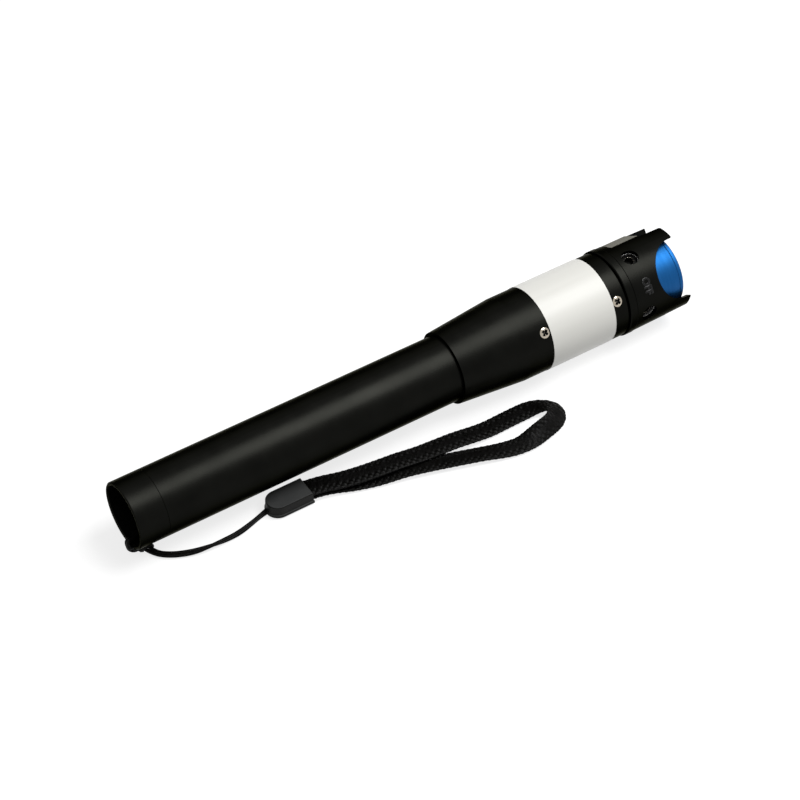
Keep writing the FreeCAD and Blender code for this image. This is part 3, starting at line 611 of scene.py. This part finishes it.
def cut_slot(slider, low, high):
    """Cut the braid's slot into the slider and break its sharp edges."""
    cut = bmesh.new()
    bmesh.ops.create_cube(cut, size=1)
    for vertex in cut.verts:
        vertex.co.x = low.x + SLOT_DEPTH_FROM if vertex.co.x < 0 else high.x + 0.001
        vertex.co.y = SLOT_MIDDLE + vertex.co.y * (BAND_WIDTH + 0.0004)
        vertex.co.z = low.z + (SLOT_FLOOR if vertex.co.z < 0 else SLOT_ROOF)
    cutter = link(bpy.data.objects.new("slot_cutter", finish_mesh(cut, "slot_cutter")))
    carve = slider.modifiers.new("slot", "BOOLEAN")
    carve.operation = "DIFFERENCE"
    carve.object = cutter
    carve.solver = "EXACT"
    soft = slider.modifiers.new("edges", "BEVEL")
    soft.width = 0.00018
    soft.segments = 2
    soft.limit_method = "ANGLE"
    soft.angle_limit = math.radians(40)
    bpy.context.view_layer.update()
    done = bpy.data.meshes.new_from_object(slider.evaluated_get(
        bpy.context.evaluated_depsgraph_get()))
    slider.modifiers.clear()
    slider.data = done
    bpy.data.objects.remove(cutter)


def make_slider():
    """Moulded slider with a stepped foot, bevelled edges and a slot for the braid; its sides
    and slot get a much darker copy of its grey as painted shade.
    """
    low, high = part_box("strap_slider")
    build = bmesh.new()
    rings = [[build.verts.new((x, y, height)) for x, y in rounded_end(low, high, inset)]
             for inset, height in ((0.0003, low.z), (0, low.z + 0.0003), (0, low.z + 0.0011),
                                   (0.00025, low.z + 0.0013), (0.0003, high.z - 0.0003),
                                   (0.0005, high.z))]
    for before, after in zip(rings, rings[1:]):
        bridge(build, before, after)
    build.faces.new(rings[-1])
    build.faces.new(list(reversed(rings[0])))
    slider = piece_from("strap_slider_moulded", finish_mesh(build, "strap_slider_moulded"),
                        "tail_cap", "moulded_grey", smooth=False)
    cut_slot(slider, low, high)
    # faces that face up keep the grey; sides, undersides and the slot get the darker copy as
    # painted shade
    slider.data.materials.append(MATERIALS["moulded_grey_painted_shade"])
    for face in slider.data.polygons:
        face.material_index = 0 if face.normal.z > 0.6 else 1
    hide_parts("strap_slider")
    return slider


# ------------------------------------------------------------ screws and the crown's mark

SET_SCREW_AT = 170.4
SET_SCREW_ANGLES = (98.3, 182.7, 278.3, 2.7)
SET_SCREW_TOP = 11.4        # radius about the pen's axis, as the next one
SLEEVE_SCREW_TOP = 13.22
SLEEVE_SCREWS = ((134.2, 142.1), (159.9, 144.8))    # along, angle about the axis
SLEEVE_SCREW_RADIUS = 1.6
# radius, height in mm: the set screw's body, and its socket by half the width across flats
SET_SCREW_BODY = ((2.5, -1.9), (2.5, -0.3), (2.2, 0.0), (1.45, 0.0))
SET_SCREW_SOCKET = ((1.34, -0.02), (1.25, -0.12), (1.25, -1.6))
SLIVER = 1.2e-8             # m2; the thin facets round the socket's mouth are bare metal
CROSS_ARM = 0.40            # mm; half an arm's width, how far it reaches, and its depth
CROSS_REACH = 1.05
CROSS_DEPTH = 0.62
CROSS_SHADE_DEPTH = 0.08           # mm; deeper than this the recess gets the black finish as painted shade


def stand_on_pen(verts, along, angle, radius):
    """Turn a small form made about +Z (in mm) so that it stands out of the pen's axis."""
    turn = math.radians(angle)
    out = Vector((0, math.cos(turn), math.sin(turn)))
    side = Vector((0, -math.sin(turn), math.cos(turn)))
    foot = about_axis(along / 1000, angle, 0) + out * (radius / 1000)
    for vertex in verts:
        spot = vertex.co
        vertex.co = foot + (Vector((spot.x, 0, 0)) + side * spot.y + out * spot.z) / 1000


def ring_at(build, shape, radius, height, sides):
    """A ring of a small form about +Z; `height` is a number or a function of the place."""
    ring = []
    for step in range(sides):
        x, y = shape(radius, 2 * math.pi * step / sides)
        ring.append(build.verts.new((x, y, height(x, y) if callable(height) else height)))
    return ring


def round_outline(radius, turn):
    return radius * math.cos(turn), radius * math.sin(turn)


def hex_outline(radius, turn):
    """A six-sided outline, `radius` being half the width across its flats."""
    near = (turn + math.pi / 6) % (math.pi / 3) - math.pi / 6
    reach = radius / math.cos(near)
    return reach * math.cos(turn), reach * math.sin(turn)


def make_set_screws():
    """Black socket screws, seen down their holes in the crown."""
    build = bmesh.new()
    sides = 48
    for angle in SET_SCREW_ANGLES:
        start = len(build.verts)
        body = [ring_at(build, round_outline, *row, sides) for row in SET_SCREW_BODY]
        for before, after in zip(body, body[1:]):
            bridge(build, before, after)
        socket = [ring_at(build, hex_outline, *row, sides) for row in SET_SCREW_SOCKET]
        for before, after in zip(socket, socket[1:]):
            bridge(build, before, after)
        bridge(build, body[-1], socket[0])
        build.faces.new(list(reversed(body[0])))
        build.faces.new(socket[-1])
        build.verts.ensure_lookup_table()
        stand_on_pen(build.verts[start:], SET_SCREW_AT, angle, SET_SCREW_TOP)
    screws = piece_from("crown_set_screws_socket",
                        finish_mesh(build, "crown_set_screws_socket"), "crown",
                        "nickel_steel", smooth=False)
    screws.data.materials.append(MATERIALS["black_oxide"])
    for face in screws.data.polygons:
        bare = face.area < SLIVER and len(face.vertices) == 4
        face.material_index = 0 if bare else 1
    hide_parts("crown_set_screws")


def cross_depth(x, y):
    """How deep the cross recess of a screw head is at a place (mm)."""
    u = (x + y) * 0.7071
    v = (x - y) * 0.7071
    arm = min(abs(u), abs(v))
    reach = max(abs(u), abs(v))
    if arm > CROSS_ARM or reach > CROSS_REACH:
        return 0.0
    side = min(1.0, (CROSS_ARM - arm) / 0.1)
    tip = min(1.0, (CROSS_REACH - reach) / 0.25)
    return CROSS_DEPTH * side * tip


def make_sleeve_screws():
    """Domed nickel heads; deeper in the cross recess they take the black oxide finish as
    painted shade.
    """
    build = bmesh.new()
    sides = 96
    steps = 36
    for along, angle in SLEEVE_SCREWS:
        start = len(build.verts)
        before = foot = ring_at(build, round_outline, SLEEVE_SCREW_RADIUS, -0.9, sides)
        for step in range(steps, 0, -1):
            radius = SLEEVE_SCREW_RADIUS * math.sin(math.pi / 2 * step / steps)
            dome = 0.30 * (1 - (radius / SLEEVE_SCREW_RADIUS) ** 2.6) - 0.10
            after = ring_at(build, round_outline, radius,
                            lambda x, y: dome - cross_depth(x, y), sides)
            first = len(build.faces)
            bridge(build, before, after)
            build.faces.ensure_lookup_table()
            for face, vertex in zip(build.faces[first:], after):
                # the deeper part of the recess is painted black: painted shade
                face.material_index = 1 if dome - vertex.co.z > CROSS_SHADE_DEPTH else 0
            before = after
        build.faces.new(list(reversed(foot)))
        build.faces.new(before)
        build.verts.ensure_lookup_table()
        stand_on_pen(build.verts[start:], along, angle, SLEEVE_SCREW_TOP)
    screws = piece_from("sleeve_screws_domed", finish_mesh(build, "sleeve_screws_domed"),
                        "pen", "nickel_steel")
    # second slot: black oxide, used here as painted shade in the cross recesses
    screws.data.materials.append(MATERIALS["black_oxide"])
    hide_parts("sleeve_screws")


MARK_SIZE = 0.0030
MARK_AT = 0.1707
MARK_ANGLE = 142.5
MARK_TALL = 1.15            # the letters are this much taller than the typeface's
MARK_OUT = 0.00007          # how far it stands out of the crown, and how deep it goes in
MARK_IN = 0.0002


def make_crown_mark():
    """The word OFF as thin black letters on the crown, running round it."""
    data = bpy.data.curves.new("word", "FONT")
    data.body = "OFF"
    data.size = MARK_SIZE
    data.align_x = "CENTER"
    data.align_y = "CENTER"
    data.offset = 0.00018
    data.resolution_u = 4
    word = link(bpy.data.objects.new("word", data))
    bpy.context.view_layer.update()
    flat = bpy.data.meshes.new_from_object(word)
    bpy.data.objects.remove(word)
    bpy.data.curves.remove(data)
    build = bmesh.new()
    build.from_mesh(flat)
    bpy.data.meshes.remove(flat)
    bmesh.ops.triangulate(build, faces=build.faces)
    bmesh.ops.subdivide_edges(build, edges=[edge for edge in build.edges
                                            if edge.calc_length() > 0.0004], cuts=3)
    raised = bmesh.ops.extrude_face_region(build, geom=build.faces[:])["geom"]
    tops = {item for item in raised if isinstance(item, bmesh.types.BMVert)}
    for vertex in build.verts:
        spot = vertex.co
        radius = CROWN_RADIUS + (MARK_OUT if vertex in tops else -MARK_IN)
        vertex.co = about_axis(MARK_AT + spot.y * MARK_TALL,
                               MARK_ANGLE + math.degrees(spot.x / CROWN_RADIUS), radius)
    piece_from("crown_mark", finish_mesh(build, "crown_mark"), "crown", "mark_black",
               smooth=False)


# ------------------------------------------------------------ the whole

make_camera()
make_world()
make_floor()
make_lamp()
dress_nodes()
cords = make_cords()
webbing, band_path, band_length = make_webbing()
knot = make_knot()
slider = make_slider()
make_set_screws()
make_sleeve_screws()
make_crown_mark()

bpy.context.scene.view_settings.view_transform = "Standard"
